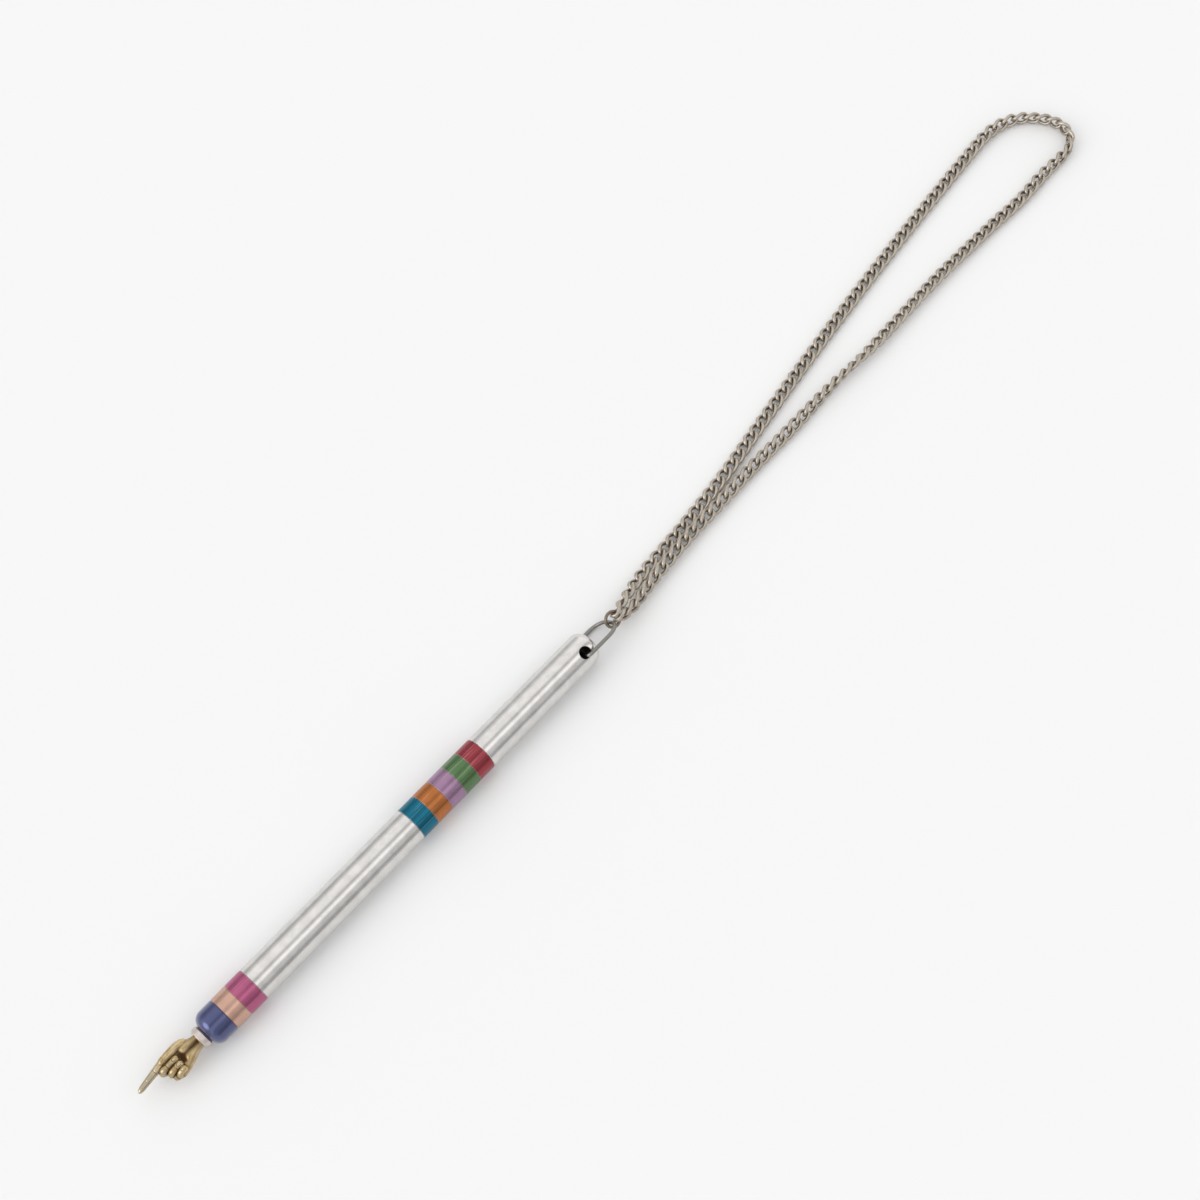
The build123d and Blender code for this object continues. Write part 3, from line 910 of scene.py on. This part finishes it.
# Painted shade, partly patina: browner by the collar and between the tucked fingers.
by_wrist = smooth_step(axes, wrist_x - 3.5 * MM, wrist_x) * 0.16
past_palm = smooth_step(axes, wrist_x - 6.0 * MM, wrist_x - 8.5 * MM)
tucked = past_palm * smooth_step(axes.other("Y"), 1.8 * MM, 0.8 * MM) * 0.22
fold_read = attribute(tree, "fold") + cloud * 0.45
# Painted shade, partly patina: the folds and cut lines turn dark brown.
deep = smooth_step(fold_read + by_wrist + tucked, 0.12, 0.76)
rubbed = smooth_step(axes, wrist_x - 8.0 * MM, wrist_x - 15.0 * MM)
warm = blend(tree, smooth_step(cloud, 0.35, 0.7), BRASS_DULL, BRASS_BRIGHT)
warm = blend(tree, rubbed * 0.75, warm, BRASS_RUBBED)
link_up(tree, blend(tree, deep, warm, BRASS_BROWN), surface, "Base Color")
link_up(tree, 0.22 + deep * 0.3 + grain * 0.1, surface, "Roughness")
link_up(tree, bump(tree, grain + cloud * 0.5, 0.15, GRAIN_DEPTH), surface, "Normal")
surface.inputs["Metallic"].default_value = 1.0

# %% [markdown]
# A round tail behind the wrist carries the nose pieces and runs on into the lower shaft. It could be
# a piece of its own, but it is part of the casting, so it goes into the same mesh, and the whole
# hand then takes the brass.

# %% The hand's tail
TAIL_RADIUS = 1.5 * MM
tail = bmesh.new()
tail.from_mesh(hand_mesh)
tail_middle = Vector(((wrist_x + tail_end) / 2, 0, rod_height))
along_rod = Matrix.Translation(tail_middle) @ Matrix.Rotation(math.pi / 2, 4, "Y")
add_bar(tail, TAIL_RADIUS, tail_end - wrist_x, 48, along_rod)
tail.to_mesh(hand_mesh)
tail.free()
sharpen(hand_mesh, 50.0)
hand_mesh.materials.append(brass)
hand = add_piece("hand_cast", hand_mesh)
settle(hand, "pointer", "brass", "hand")
print("hand, mm:", [round(side / MM, 2) for side in hand.dimensions])

# %% [markdown]
# The wires and the chain ride on their own bodies. The chain is a limp cord that leaves
# the jump ring and comes back to it; its length, width and line are gathered in a dictionary.
# The stud inside the rod keeps its CAD solid and only takes a finish.

# %% Bodies and the cord
settle(wire_loop, "loop", "wire", "wire_loop")
settle(jump_ring, "chain", "chain", "jump_ring")
chain_nodes = ["chain_near_left", "chain_left", "chain_bend", "chain_right", "chain_near_right"]
settle(chain, "chain", "chain", *chain_nodes)
cord = {"length": chain_length, "diameter": LINK_WIDTH * MM, "far_end": "object"}
cord |= {"stiffness": "limp", "lay": "loose", "path": chain_line}
stud = frame["nodes"]["joining_stud"]
stud.data.materials.clear()
stud.data.materials.append(stud_metal)
print("chain's solids stood for:", len(chain_nodes))

# %% [markdown]
# The photograph has a plain white ground, so the table is one large pale sheet. It isn't part of the
# object, and it stays a little short of white to keep a soft shadow.

# %% Table
TABLE_REACH, TABLE_TONE = 2.5, 0.85
shape = bmesh.new()
bmesh.ops.create_grid(shape, x_segments=1, y_segments=1, size=TABLE_REACH)
table = add_piece("table", as_mesh("table", shape))
table_white, tree, surface = new_material("table_white")
surface.inputs["Base Color"].default_value = (TABLE_TONE, TABLE_TONE, TABLE_TONE, 1.0)
surface.inputs["Roughness"].default_value = 0.9
table.data.materials.append(table_white)

# %% [markdown]
# The light is a white tent. The rod is nearly a mirror, so the tent's panels show in it: a broad
# bright panel overhead, a seam beside it, a second panel, and the dim side near the camera. A round
# window beyond the fingertip gives the bead its spot of light, and the tent's foot is one plain wall
# all round. Lamps could do this too, but they leave pools on the table, so all of it is the world's
# own light. The panels are pairs of a direction's Y and a level.

# %% Light tent
TENT = [(-1.0, 0.4), (-0.9, 0.5), (-0.83, 0.78), (-0.7, 0.72), (-0.6, 0.8), (-0.52, 1.4), (-0.32, 1.4)]
TENT += [(-0.2, 0.75), (-0.1, 0.6), (0.0, 0.7), (0.12, 1.15), (0.72, 1.2), (0.86, 0.8), (0.96, 0.55)]
WALL, WINDOW, STRENGTH = 0.85, 2.5, 0.94
WALL_TOP, WINDOW_RIM = (0.04, 0.15), (0.9, 0.98)
WINDOW_WAY = Vector((-0.808, 0.225, 0.544))
world = bpy.data.worlds.new("light_tent")
bpy.context.scene.world = world
world.use_nodes = True
tree = world.node_tree
tree.nodes.clear()
way = Socket.node(tree, "ShaderNodeTexCoord", output="Generated")
ways = Socket.node(tree, "ShaderNodeSeparateXYZ", None, {0: way})
stops = [((side + 1) / 2, (level, level, level, 1.0)) for side, level in TENT]
panels = Socket.node(tree, "ShaderNodeValToRGB", {"stops": stops}, {0: ways.other("Y") * 0.5 + 0.5})
both = {0: way, 1: WINDOW_WAY}
to_window = Socket.node(tree, "ShaderNodeVectorMath", {"operation": "DOT_PRODUCT"}, both, "Value")
above_wall = smooth_step(ways.other("Z"), *WALL_TOP)
glow = (panels - WALL) * above_wall + WALL + smooth_step(to_window, *WINDOW_RIM) * WINDOW
light = Socket.node(tree, "ShaderNodeBackground", None, {"Strength": glow * STRENGTH})
light.socket.node.inputs["Color"].default_value = (1.0, 1.0, 1.0, 1.0)
tree.links.new(light.socket, tree.nodes.new("ShaderNodeOutputWorld").inputs["Surface"])
bpy.context.scene.view_settings.view_transform = "Standard"
print("tent panels:", len(TENT), "strength:", STRENGTH)
